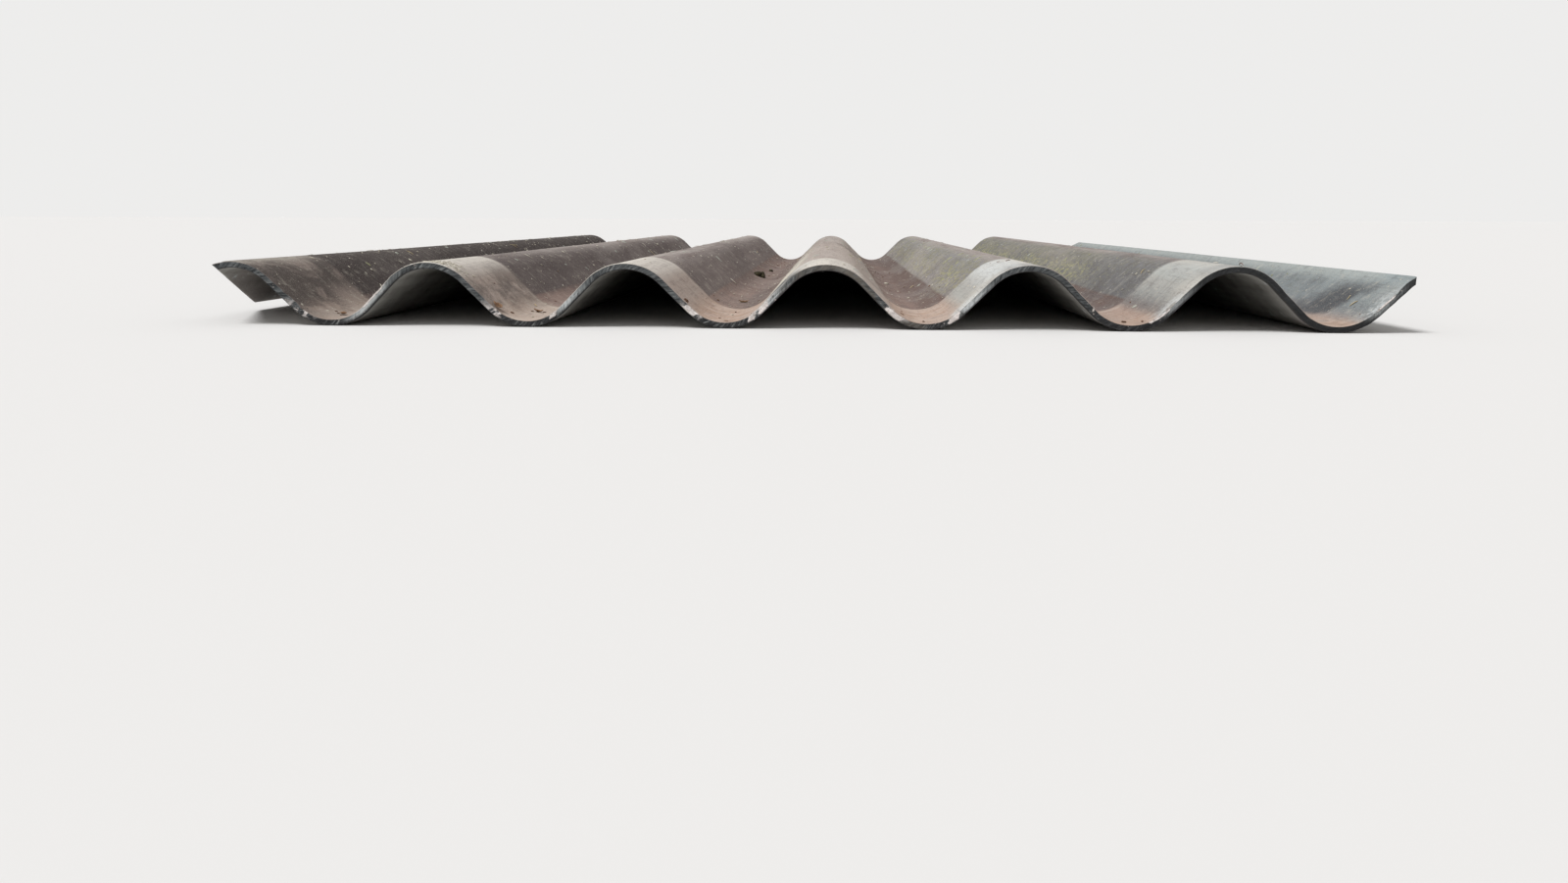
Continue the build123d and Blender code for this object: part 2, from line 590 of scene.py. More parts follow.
def with_algae(face, body):
    """Grey algae on the flanks that face the low edge, from the fourth wave on, with broken green and
    yellow strokes, and darker by the feet and on the last crest."""
    x, rise, patches, mottle, strokes = face.x, face.rise, face.patches, face.mottle, face.strokes
    from_front = face.from_front
    flecked = face.streaks((420, 280, 420), 3)
    yellow = patches.ramp(0.34, 0.5) * (strokes + face.fine.sway(0.22)).ramp(0.47, 0.61)
    yellow = yellow * rise.hill(0.2, 0.45, 0.9) * flecked.ramp(0.37, 0.5)
    yellow = yellow * (1 - x.ramp(0.27, 0.31) * from_front.ramp(0.46, 0.24))
    olive = x.ramp(0.24, 0.3) * from_front.ramp(0.24, 0.5) * mottle.ramp(0.36, 0.6)
    last_crest = x.band(0.3, 0.336, 0.41, 0.47)
    off_high_edge = x.ramp(0.5, 0.44)
    algae = face.mix((face.fine + mottle.sway(0.5)).ramp(0.3, 0.75), algae_grey, algae_pale).coated(
        (algae_green, patches.ramp(0.38, 0.56) * strokes.ramp(0.4, 0.6) * 0.8),
        (algae_dark, x.ramp(0.25, 0.32) * rise.ramp(1, 0.45) * 0.62),
        (algae_dark, last_crest * 0.3),
        (algae_green, olive * off_high_edge * 0.6),
        (lichen_yellow, yellow * off_high_edge),
    )
    return body.coated(
        (algae, face.algae_home * 0.92),
        (algae_grey, x.ramp(0.05, 0.35) * mottle.ramp(0.42, 0.66) * 0.4),
        (algae_dark, last_crest * from_front.ramp(0.5, 0.2) * 0.26),
    )


def with_silt(face, body):
    """Brown silt in the valleys up to a waterline, thin in places and darker towards the back, and
    over everything slow patches that stayed damp or were washed."""
    x, y = face.x, face.y
    tone = face.mottle.sway(0.4) + face.runs.sway(0.5)
    silt = face.mix(tone.ramp(-0.35, 0.35), silt_damp, silt_dry).coated(
        (silt_dark, y.ramp(-0.6, -0.3) * 0.5),
        (silt_dark, x.hill(0.06, 0.14, 0.2) * 0.22),
        (silt_dry, x.hill(-0.1, -0.05, 0) * y.ramp(-0.28, -0.45) * 0.35),
        (silt_dark, face.tilt.ramp(-0.04, 0.32) * (x.ramp(0.2, 0.3) * 0.08 + 0.68)),
    )
    thin = (face.noise(9, 4, 0.6) + face.runs.sway(0.35)).ramp(0.6, 0.38)
    damp = face.streaks((9, 2.6, 9), 4)
    return body.coated(
        (silt, face.silted * (face.sooty * -0.45 + 0.94) * (thin * -0.4 + 1)),
        (soot_film, damp.ramp(0.5, 0.36) * (1 - face.streak * 0.9) * 0.4),
        (rubbed_crest, damp.ramp(0.56, 0.7) * (1 - face.silted) * 0.3),
    )


def end_dust(face):
    """Dust in the valleys of the covered end: pink and orange, greyer towards the low edge."""
    last_valleys = face.x.ramp(0.25, 0.31)
    return face.mix(face.mottle.ramp(0.4, 0.62), pink_dust, orange_dust).coated(
        (grey_dust, face.x.ramp(-0.12, -0.2) * 0.55),
        (orange_dust, last_valleys * 0.3),
        (silt_dry, last_valleys * face.border.ramp(0.02, 0.07) * 0.5),
    )


def with_covered_end(face, body):
    """The paler end that the next sheet covered: cream crests, brown and grey flanks, dust in the
    valleys, and smudges of soot and lime bloom at their places across the sheet."""
    x, rise, border, smudges = face.x, face.rise, face.border, face.smudges
    to_low_edge, to_high_edge = face.to_low_edge, face.to_high_edge
    white_crest = x.ramp(-0.36, -0.31) * x.ramp(0.24, 0.2) * rise.ramp(0.62, 0.9)
    by_the_end = border.ramp(0.055, 0) * rise.ramp(0.1, 0.35) * to_low_edge
    dusty = (rise + face.mottle.sway(0.1)).ramp(0.4, 0.1)
    second_flank = x.hill(-0.225, -0.262, -0.296) * to_high_edge
    bare_foot = border.ramp(0.07, 0.105) * x.ramp(-0.446, -0.428)
    first_flank = x.ramp(-0.398, -0.436) * ((to_high_edge * 0.62 + 0.3) * (1 - bare_foot))
    rim = border.hill(end_lap - 0.022, end_lap - 0.011, end_lap - 0.003)
    rim = rim * face.patches.ramp(0.44, 0.62) * (1 - face.first_wave)
    end_soot = x.ramp(0.12, 0.18) * border.ramp(0.05, 0.022) * rise.ramp(0.7, 0.95)
    bloomed = x.band(0.172, 0.195, 0.212, 0.236) * 0.75 + x.band(0.355, 0.38, 0.4, 0.44) * 0.22
    foot = x.ramp(0.26, 0.3) * to_low_edge * rise.hill(0.06, 0.22, 0.62)
    clean = face.mix(to_high_edge, covered_cream, covered_brown).coated(
        (covered_grey, to_low_edge),
        (dusty_wave, face.fourth_wave * to_high_edge * 0.85),
        (covered_white, white_crest * 0.6),
        (covered_white, face.streak * face.from_front.ramp(0.085, 0.12) * 0.7),
        (covered_cool, x.ramp(0.27, 0.36) * 0.45 + x.ramp(0.49, 0.51) * 0.55),
        (worn_body, face.runs.sway(1).ramp(0.2, -0.3) * 0.22),
        (covered_cream, by_the_end * 0.45),
        (end_dust(face), dusty * 0.9),
        (covered_sooty, second_flank * smudges.ramp(0.3, 0.56) * 0.72),
        (covered_sooty, first_flank * smudges.ramp(0.66, 0.46)),
        (covered_cream, rim * 0.28),
        (algae_grey, end_soot * 0.5),
        (lime_bloom, bloomed * smudges.ramp(0.26, 0.58)),
        (algae_dark, foot * 0.66),
        (algae_grey, x.ramp(0.12, 0.17) * smudges.ramp(0.46, 0.3) * 0.3),
    )
    return body.coated((clean, face.covered * (face.high_flank * -0.5 + 0.94)))


def with_stains(face, colour):
    """Soot and painted shade on the first wave, a slate-grey smear on the fourth, and by the high edge a
    cool film with a slanting stain and a pale strip."""
    x, from_front = face.x, face.from_front
    first_crest = x.ramp(-0.44, -0.472) * (face.covered * -0.8 + 1)
    smear = x.hill(-0.014, 0.002, 0.016) * from_front.ramp(0.21, 0.11)
    wider = x.hill(-0.004, 0.012, 0.027) * from_front.ramp(0.055, 0.02)
    slant = from_front + (x - 0.52) * 1.4 + face.mottle.sway(0.03)
    stain = slant.band(0.055, 0.08, 0.115, 0.165) * x.ramp(0.494, 0.508) * x.ramp(0.544, 0.528)
    return colour.coated(
        # Painted shade and soot: the first wave and its crest darkened, less on the covered end
        (soot_and_shade_film, face.first_wave * 0.36 + first_crest * 0.46),
        (slate_stain, smear.larger(wider) * 0.8),
        (cool_film, face.high_flank * (x.ramp(0.534, 0.546) * 0.25 + 0.42)),
        (covered_cool, x.ramp(0.534, 0.545) * from_front.ramp(0.02, 0.08) * 0.6),
        (slate_stain, stain * 0.93),
    )


def with_lime(face, colour):
    """Lime bloom along the front arris, pale scale on the second crest, and the upper rims of the
    patches of crust."""
    from_front, fine = face.from_front, face.fine
    broken = (fine + face.mottle.sway(0.8)).ramp(0.34, 0.62)
    bloom = from_front.ramp(0.03, 0.003) * face.to_low_edge * face.rise.hill(0.02, 0.2, 0.9)
    scaly = face.x.hill(-0.338, -0.304, -0.274) * from_front.ramp(0.046, 0.012)
    scaly = scaly + (fine.sway(0.9) + face.grit.sway(0.5))
    crust = face.attribute("crust") + fine.sway(0.55)
    return colour.coated(
        (lime_bloom, bloom * broken * 0.75),
        (covered_white, scaly.ramp(0.48, 0.7) * 0.85),
        (lime_crust, crust.ramp(0.38, 0.58) * 0.9),
    )


def with_grain(face, colour):
    """The small contrasts of the whole face: drips across the waves, hairs of soot along them, grain
    and blotches."""
    drips = face.streaks((20, 190, 20), 4, warp=0.3)
    hairs = face.streaks((600, 30, 600), 3)
    grain = face.grit.sway(1)
    blotches = face.noise(95, 4, 0.65).sway(1)
    return colour.coated(
        (soot_film, drips.ramp(0.52, 0.74) * 0.24),
        (pale_fleck, drips.ramp(0.46, 0.26) * 0.14),
        (soot_film, hairs.ramp(0.5, 0.68) * 0.2),
        (pale_fleck, grain.ramp(0, 0.55) * 0.35),
        (soot_film, grain.ramp(0, -0.55) * 0.45),
        (pale_fleck, blotches.ramp(0.05, 0.5) * 0.3),
        (soot_film, blotches.ramp(-0.05, -0.5) * 0.42),
    )


def weather_face_finish():
    """The upper face: sooty and darkened by painted shade at the low edge, silt with a tide line in the
    valleys, rubbed crests, algae on the flanks that face the low edge, and a paler end that the next sheet
    covered."""
    face = weather_face()
    colour = with_silt(face, with_algae(face, worn_cement(face)))
    colour = with_stains(face, with_covered_end(face, colour))
    colour = with_grain(face, with_lime(face, colour))
    wobbly = face.wobbly(170, 0.0012)
    flecks = face.spots(105, 0.12, wobbly, 0.16) + face.spots(300, 0.17, wobbly, 0.16)
    dots = face.spots(120, 0.1, face.mapped("Location", (0.3, 0.2, 0.1), wobbly), 0.14)
    colour = colour.coated((pale_fleck, flecks * 0.75), (pit_black, dots * 0.8))
    relief = face.grit * 0.3 + face.fine * 0.55 + flecks * 0.25
    relief = relief + face.algae_home * face.strokes * 0.5 + dots * -0.35
    return face.finish(colour, relief, 0.0007, face.covered * -0.05 + 0.93, 0.06)


def under_face_finish():
    """The lower face: bare cement, damp along the valleys, with lime bloom and old run marks, and dark
    where it comes out at the front."""
    paint = Paint("under_face")
    _, y, z = paint.axes()
    mottle = paint.noise(40, 6, 0.62)
    runs = paint.streaks((70, 3, 70), 5)
    bloom = paint.noise(55, 5, 0.7).ramp(0.57, 0.68) * runs.ramp(0.45, 0.62)
    colour = paint.mix((mottle + runs).ramp(0.62, 1.3), damp_cement, bare_cement).coated(
        (brown_film, paint.noise(5, 4).ramp(0.5, 0.66) * 0.5),
        (damp_cement, z.ramp(0.014, 0) * 0.45),
        (lime_bloom, bloom * 0.6),
        (edge_black, y.ramp(front_y + 0.006, front_y + 0.002) * 0.9),
    )
    weave, _ = paint.cells(520, feature="SMOOTH_F1")
    relief = weave * 0.5 + paint.noise(800, 3, 0.6) * 0.4
    return paint.finish(colour, relief, 0.0005, bloom * 0.05 + 0.88)


def cut_edge_finish():
    """The cut edges: slate-grey layers torn across, darker in the valleys and towards the high edge, with
    lime bloom on the flanks that face the low edge and pale crust on the feet of the others."""
    paint = Paint("cut_edge")
    surface = paint.value("ShaderNodeUVMap", {}, uv_map="surface")
    _, through, _ = paint.axes(surface)
    x, _, z = paint.axes()
    tilt = paint.attribute("tilt")
    layered = paint.streaks((50, 1300, 1), 4, coordinates=surface)
    torn = paint.streaks((420, 70, 1), 4, 0.65, surface)
    teeth = paint.streaks((1500, 250, 1), 3, coordinates=surface)
    tone = torn.sway(1.3) + (teeth.sway(0.7) + layered.sway(0.35))
    brown = paint.noise(38, 5, 0.6).ramp(0.4, 0.56) * x.hill(-0.04, 0.06, 0.2)
    bloom = tilt.ramp(0.15, 0.7) * z.hill(0.008, 0.02, 0.044) * (x.ramp(0.22, 0.28) * -0.4 + 1)
    bloom = bloom * paint.noise(60, 5, 0.7).ramp(0.32, 0.5) * (torn + layered.sway(0.3)).ramp(0.26, 0.52)
    bloom = bloom.larger(x.hill(-0.394, -0.364, -0.336) * torn.ramp(0.22, 0.46))
    crumbly = paint.noise(420, 4, 0.65) + paint.noise(1300, 2).sway(0.25)
    crust = tilt.ramp(-0.1, -0.6) * z.hill(0.005, 0.013, 0.027) * x.ramp(0.26, 0.16)
    crust = crust * paint.noise(110, 4, 0.6, warp=0.5).ramp(0.48, 0.56)
    crust = crust.larger((paint.attribute("crust") + crumbly.sway(0.75)).ramp(0.38, 0.56))
    crust_tone = paint.mix(crumbly.ramp(0.3, 0.62), crust_shade, lime_crust)
    # Darker low down at the valleys, lighter towards the crests
    colour = paint.mix(z.ramp(0.003, 0.026), edge_valley_dark, edge_slate).coated(
        (edge_black, x.ramp(0.2, 0.36) * 0.72),
        (edge_light, tone.ramp(0, 0.6) * x.ramp(0.44, 0.08) * 0.9),
        (edge_black, tone.ramp(0.05, -0.4) * 0.85),
        (edge_brown, brown * 0.7),
        (lime_bloom, bloom * through.ramp(0.0062, 0.003) * 0.9),
        (crust_tone, crust * 0.97),
        (worn_body, through.ramp(0.0005, 0) * x.ramp(0.5, 0.15) * 0.5),
        (edge_black, through.ramp(0.0049, 0.006) * 0.5),
        (edge_black, x.ramp(0.28, 0.42) * x.ramp(0.515, 0.495) * 0.4),
    )
    relief = layered * 0.5 + torn * 0.6 + (teeth * 0.3 + crust * 0.7)
    return paint.finish(colour, relief, 0.0011, bloom * 0.08 + 0.86)


sheet = part_of_sheet(sheet_piece([weather_face_finish(), under_face_finish(), cut_edge_finish()]))
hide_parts("corrugated_sheet")


# What lies or grows on the weather face
def scatter(count, chance, seed, margin=0.006):
    """Places spread evenly over the developed upper face, kept where a random number is under chance."""
    random = default_rng(seed)
    first, last = run_at(np.array([low_edge_x + margin, high_edge_x - margin]), thickness / 2)
    run = random.uniform(first, last, count)
    y = random.uniform(front_y + margin, back_y - margin, count)
    x, z = face_section(run, thickness / 2)
    inside = (y > cut_y(front_corner, x, z) + margin) & (y < cut_y(back_corner, x, z) - margin)
    kept = inside & (random.uniform(0, 1, count) < chance(x, y, z))
    return run[kept], y[kept]


def at(x, y):
    """Developed distances and y of places given by x and y, in millimetres, on the upper face."""
    return run_at(np.array(x) / 1000, thickness / 2), np.array(y) / 1000


def turned(run, y, a, b, aim):
    """Places a along and b aside of an aim, from each developed distance run and y."""
    across = run[:, None, None] + a * np.cos(aim) - b * np.sin(aim)
    along = y[:, None, None] + a * np.sin(aim) + b * np.cos(aim)
    return across, along


def full_turn(around):
    """Angles of the corners round a ring."""
    return np.linspace(0, 2 * pi, around, endpoint=False)


def joined(shapes, faces):
    """Corners and faces of many copies: shapes is copies by corners by 3, faces the faces of one copy."""
    copies, corners = shapes.shape[:2]
    numbered = faces[None] + corners * np.arange(copies)[:, None, None]
    return shapes.reshape(-1, 3), numbered.reshape(-1, faces.shape[1])


def shell_faces(rings, around):
    """Four-sided faces of a closed shell of rings, whose first and last ring are folded to a seam."""
    level, turn = np.meshgrid(np.arange(rings - 1), np.arange(around), indexing="ij")
    here, above, after = level * around, (level + 1) * around, (turn + 1) % around
    return side_by_side(here + turn, here + after, above + after, above + turn).reshape(-1, 4)


def shells(run, y, a, b, up, aim, placed=on_weather_face):
    """Copies of a shell of rings, one for each place: corners a along and b aside of its aim, and up."""
    shapes = placed(*turned(run, y, a, b, aim), up)
    return joined(shapes.reshape(len(run), -1, 3), shell_faces(*shapes.shape[1:3]))


def welded(piece):
    """Closes the poles, where a ring's corners meet in one point."""
    work = bmesh.new()
    work.from_mesh(piece.data)
    bmesh.ops.remove_doubles(work, verts=work.verts, dist=1e-7)
    bmesh.ops.recalc_face_normals(work, faces=work.faces)
    work.to_mesh(piece.data)
    work.free()
    return piece


def growth(name, corners, faces, material):
    """A piece with closed poles that lies or grows on the sheet."""
    part_of_sheet(welded(new_object(name, corners, faces, [material])))


def on_front_edge(run, down, out):
    """Places on the front edge: a developed distance, how far under the upper face, and how far out from
    the edge, whose y is mixed from the two faces' front lines by the share of the way down."""
    x, z = face_section(run, thickness / 2 - down)
    upper, lower = [np.interp(run, *end_lines(side)[:2]) for side in (1, -1)]
    y = upper + (lower - upper) * down / thickness
    return side_by_side(x, y - out, z)


def lumps(run, y, length, width, height, seed, rings=5, around=8, rough=0.22, placed=on_weather_face):
    """Flattened lumps that sit in the face: each ring of a ball at a turn from below its middle to the top,
    as wide as the sine of the turn and as high as its cosine, with every corner moved by a random share."""
    random = default_rng(seed)
    count = len(run)
    rise = np.linspace(0.0, pi, rings)[None, :, None]
    turn = full_turn(around)
    uneven = 1 + rough * random.uniform(-1, 1, (count, rings, around))
    uneven[:, 0] = uneven[:, 0, :1]
    uneven[:, -1] = uneven[:, -1, :1]
    spread = np.sin(rise) * uneven
    a = spread * np.cos(turn) * (length / 2)[:, None, None]
    b = spread * np.sin(turn) * (width / 2)[:, None, None]
    middle, half = 0.35, 0.65
    up = (middle - half * np.cos(rise) * uneven) * height[:, None, None]
    aim = random.uniform(0, pi, count)[:, None, None]
    return shells(run, y, a, b, up, aim, placed)


def slivers(run, y, length, width, height, aim, bend, lift, stations=6):
    """Thin strands that lie on the face: a diamond section carried along an arc.

    Each station lies a share of the length along the aim, set sideways by the bend times a parabola, and
    tapers to both tips. The lift raises the middle of the strand by a parabola too."""
    share = np.linspace(-1, 1, stations)[None, :, None]
    parabola = 1 - share**2
    taper = np.sqrt(np.clip(1.02 - share**2, 0.0, 1))
    section = np.array([[1.0, 0.0], [0.0, 1.0], [-1.0, 0.0], [0.0, -0.6]])[None, None]
    wide = [value[:, None, None] for value in (length, width, height, aim, bend, lift)]
    length, width, height, aim, bend, lift = wide
    a = share * length / 2 + 0 * section[..., 0]
    b = bend * parabola + section[..., 0] * taper * width / 2
    up = lift * parabola + (0.45 + section[..., 1] * taper * 0.5) * height
    shapes = on_weather_face(*turned(run, y, a, b, aim), up).reshape(len(run), -1, 3)
    ends = np.array([[3, 2, 1, 0], [0, 1, 2, 3]]) + np.array([[0], [(stations - 1) * 4]])
    return joined(shapes, np.concatenate([shell_faces(stations, 4), ends]))


def crumb_finish(name, dark, light):
    """Dry crumbs: two tones mixed grain by grain."""
    paint = Paint(name)
    tone = paint.noise(420, 3, 0.6)
    colour = paint.mix(tone.ramp(0.35, 0.65), dark, light)
    return paint.finish(colour, paint.noise(1500, 2), 0.0003, tone * 0.05 + 0.88)


def lichen_finish(name, rim, middle, light):
    """Crusty lichen: two greens by a fine noise, with pale fruiting dots."""
    paint = Paint(name)
    tone = paint.noise(260, 4, 0.65)
    colour = paint.mix(tone.ramp(0.38, 0.62), rim, middle)
    colour = colour.coated((light, paint.spots(900, 0.22, keep=0.4) * 0.8))
    return paint.finish(colour, paint.noise(900, 3, 0.6), 0.0006, tone * 0.05 + 0.9)


def sootier(x, most):
    """A chance that falls from the sooty low edge to the high edge."""
    return np.interp(x, [-0.5, -0.1, 0.1, 0.5], [most, 0.6, 0.27, 0.2])


def uncovered(y):
    """1 where the sheet lay open, and a quarter on the end that the next sheet covered."""
    return np.interp(y, [front_y + 0.13, front_y + 0.155], [0.25, 1.0])


def sizes(random, middle, spread, count):
    """Sizes about a middle one: it times the exponent of a normal number with that spread."""
    return middle * np.exp(random.normal(0, spread, count))


def pale_crumbs():
    """Cement crumbs and lichen scale, pale, thickest on the sooty waves."""
    run, y = scatter(2600, lambda x, y, z: sootier(x, 0.8) * uncovered(y), seed=11)
    random = default_rng(12)
    length = sizes(random, 0.002, 0.38, len(run))
    width = length * random.uniform(0.45, 0.9, len(run))
    height = width * random.uniform(0.25, 0.5, len(run))
    growth("pale_crumbs", *lumps(run, y, length, width, height, seed=13), pale_scale)


def crest_scale(count):
    """A patch of pale scale on the second crest, just behind the front edge."""
    random = default_rng(15)
    run = run_at(random.normal(-0.304, 0.013, count), thickness / 2)
    y = front_y + 0.003 + np.abs(random.normal(0, 0.015, count))
    length = sizes(random, 0.0015, 0.45, count)
    width = length * random.uniform(0.4, 0.9, count)
    growth("crest_scale", *lumps(run, y, length, width, width * 0.2, seed=16, rough=0.45), pale_scale)


def pale_strands():
    """Short pale strands: freed fibre, lichen threads and bits of dry grass, most on the sooty waves."""
    run, y = scatter(900, lambda x, y, z: sootier(x, 0.85) * uncovered(y), seed=21)
    random = default_rng(22)
    length = np.clip(sizes(random, 0.005, 0.42, len(run)), 0.0018, 0.013)
    width = sizes(random, 0.0012, 0.25, len(run))
    aim = random.uniform(0, pi, len(run))
    bend = length * random.uniform(-0.18, 0.18, len(run))
    lift = length * random.uniform(0.0, 0.08, len(run))
    strands = slivers(run, y, length, width, width * 0.55, aim, bend, lift)
    part_of_sheet(new_object("pale_strands", *strands, [pale_scale]))


def edge_crust(count):
    """Grains of lime on the front edge, thickest on the flanks' feet and on the patches of crust."""
    random = default_rng(71)
    first, last = run_at(np.array([low_edge_x + side_lap, high_edge_x]), 0.0)
    run = random.uniform(first, last, count)
    down = 0.0003 + (thickness - 0.001) * random.beta(0.9, 1.3, count)
    x, z = face_section(run, 0.0)
    low_flank = np.interp(z, [0.006, 0.013, 0.026, 0.04], [0.04, 0.42, 0.16, 0.01])
    low_flank = low_flank * np.interp(x, [0.18, 0.26], [1.0, 0.25])
    patchy = np.clip(0.35 + 1.5 * smooth_noise(run, np.zeros(1), 0.022, 1, 72), 0, 1)
    kept = random.uniform(0, 1, count) < np.maximum(low_flank * patchy, 0.9 * crust_cover(x, down))
    run, down = run[kept], down[kept]
    length = sizes(random, 0.0009, 0.42, len(run))
    width = length * random.uniform(0.4, 0.8, len(run))
    height = np.minimum(width * random.uniform(0.2, 0.4, len(run)), 0.0004)
    grains = lumps(run, down, length, width, height, seed=73, rough=0.45, placed=on_front_edge)
    growth("edge_crust", *grains, crumb_finish("lime_crust", (0.28, 0.25, 0.23), (0.68, 0.62, 0.58)))


def single_grains(name, x, y, length, slim, flat, seed, material):
    """Grains at places of their own, in millimetres; slim and flat are their width and height by length."""
    length = np.array(length) / 1000
    grains = lumps(*at(x, y), length, length * slim, length * flat, seed, rings=7, around=12)
    growth(name, *grains, material)


def seen_marks():
    """What stands out by itself: pale grains, the dark pits' plugs on the fifth crest, and a short twig."""
    single_grains("pale_grains", [178.9, 136.5, 365.9, 161, -44.5, 131],
                  [-719, -451, -600, -602, -690, -330], [3.6, 3.8, 2.6, 2.4, 2.8, 2.6],
                  slim=0.7, flat=0.35, seed=81, material=pale_scale)
    rust_brown = crumb_finish("rusty_grains", (0.05, 0.026, 0.019), (0.22, 0.095, 0.06))
    single_grains("dark_grains", [208.3, 217.7, 214, 202.5, 407], [-653.5, -653, -668, -640, -742],
                  [3.4, 4.2, 2.4, 2.2, 2.6], slim=0.6, flat=0.2, seed=83, material=rust_brown)
    length_to_lift = (0.008, 0.001, 0.0009, radians(97), 0.001, 0.0022)
    twig = slivers(*at([403], [-754]), *np.array(length_to_lift)[:, None], stations=9)
    part_of_sheet(new_object("short_twig", *twig, [rust_brown]))


def grass_straws():
    """The longer straws and twigs that lie on the waves."""
    run, y = at([-467, -462, -464, 524, 520, -46, -241, 150, -90, 365, -20, -266, 470, 92, -420],
                [-379, 60, 76, -692, -713, -534, -655, -300, 330, -582, 540, 240, 180, 120, 400])
    random = default_rng(32)
    length = np.array([11, 15, 13, 7, 9, 10, 8, 14, 17, 9, 22, 19, 24, 13, 16]) / 1000
    width = 0.0013 * random.uniform(0.8, 1.3, len(run))
    aim = np.radians([-18, 40, 65, 22, 150, 8, 120, 60, 100, 35, 75, 15, 95, 130, 50])
    bend = length * random.uniform(-0.16, 0.16, len(run))
    straws = slivers(run, y, length, width, width * 0.7, aim, bend, length * 0.03, stations=12)
    straw = crumb_finish("dry_straw", (0.46, 0.36, 0.2), (0.68, 0.59, 0.4))
    part_of_sheet(new_object("grass_straws", *straws, [straw]))


def brown_litter():
    """Rotted leaf and bark crumbs, lying in the valleys and on the lower flanks."""
    run, y = scatter(1500, lambda x, y, z: np.interp(z, [0.007, 0.016, 0.03], [0.55, 0.25, 0.03]), seed=41)
    more_run, more_y = at([-410, -405, -414, -241, -235, -231, -226, -44, -52, -80, 131, 309, 322],
                          [-721, -727, -716, -740, -692, -688, -681, -755, -735, -757, -748, -741, -752])
    run, y = np.concatenate([run, more_run]), np.concatenate([y, more_y])
    random = default_rng(42)
    length = sizes(random, 0.002, 0.42, len(run))
    length[-len(more_run):] = random.uniform(0.0028, 0.0055, len(more_run))
    width = length * random.uniform(0.4, 0.8, len(run))
    height = width * random.uniform(0.25, 0.6, len(run))
    litter = crumb_finish("leaf_litter", (0.08, 0.046, 0.03), (0.27, 0.165, 0.11))
    growth("brown_litter", *lumps(run, y, length, width, height, seed=43, rough=0.35), litter)


def on_open_rises(x, y, z):
    """Thicker the higher up the waves, and on the part of the sheet that lay open."""
    return np.interp(z, [0.012, 0.04], [0.1, 0.9]) * np.interp(y, [-0.62, -0.3], [0.1, 1.0])


def on_shaded_flanks(x, y, z):
    """Most on the upper half of the flanks that face the low edge, on the last three waves."""
    slope = mid_section(run_at(x, thickness / 2))[2]
    home = np.interp(x, [0.08, 0.22, 0.5], [0.05, 0.9, 0.6]) * np.interp(slope, [0.0, 0.5], [0.12, 1.0])
    home = home * np.interp(z, [0.022, 0.036], [0.0, 1.0])
    home = home * np.interp(y, [-0.64, -0.5, 0.3, 0.7], [0.05, 1.0, 1.0, 0.6])
    return home * np.clip(0.5 + 1.3 * smooth_noise(x, y, 0.035, 0.11, 57), 0, 1)


def lichen_crusts(name, count, chance, size, seed, material):
    """Flat lobed crusts: a dome over a disc whose radius waves with the turn in three to seven lobes, and
    whose height is broken by a random share at every corner. The rim dips just under the face."""
    run, y = scatter(count, chance, seed)
    random = default_rng(seed + 1)
    rings, around = 5, 18
    ring = np.linspace(0, 1, rings)[None, :, None]
    turn = full_turn(around)
    many = (len(run), 1, 1)
    lobes = 1 + 0.16 * np.cos(random.integers(3, 6, many) * turn + random.uniform(0, 6, many))
    lobes = lobes + 0.1 * np.cos(random.integers(6, 9, many) * turn + random.uniform(0, 6, many))
    radius = sizes(random, size, 0.42, many) / 2
    longer = random.uniform(1.0, 1.8, many)
    aim = random.uniform(0, pi, many)
    a = ring * lobes * radius * longer * np.cos(turn)
    b = ring * lobes * radius * np.sin(turn)
    broken = random.uniform(0.35, 1.0, (len(run), rings, around))
    broken[:, 0] = 0.7
    dome_height, rim_dip = 0.00075, 0.00035
    up = np.where(ring < 1, dome_height * broken * (1 - ring**3), -rim_dip)
    corners, faces = shells(run, y, a, b, up, aim)
    last_ring = np.arange(around)[::-1] + (rings - 1) * around
    rims = last_ring + rings * around * np.arange(len(run))[:, None]
    growth(name, corners, faces.tolist() + rims.tolist(), material)


def moss_clump(name, x_mm, y_mm, size, height, seed, material):
    """A cushion of moss: a half ball in developed places, its radius and height broken by two noises."""
    (run,), (y,) = at([x_mm], [y_mm])
    rings, around = 22, 44
    rise = np.linspace(0, 0.62 * pi, rings)[:, None]
    turn = full_turn(around)
    a, b = np.sin(rise) * np.cos(turn), np.sin(rise) * np.sin(turn)
    coarse = smooth_noise(a, b, 0.42, 0.42, seed)
    fine = smooth_noise(a, b, 0.12, 0.12, seed + 1)
    reach = 1 + 0.34 * coarse + 0.16 * fine
    across = run + 0.72 * size / 2 * a * reach
    along = y + size / 2 * b * reach
    corners = on_weather_face(across, along, height * np.cos(rise) * reach)
    base = np.arange(around)[::-1] + (rings - 1) * around
    growth(name, corners, shell_faces(rings, around).tolist() + [base.tolist()], material)


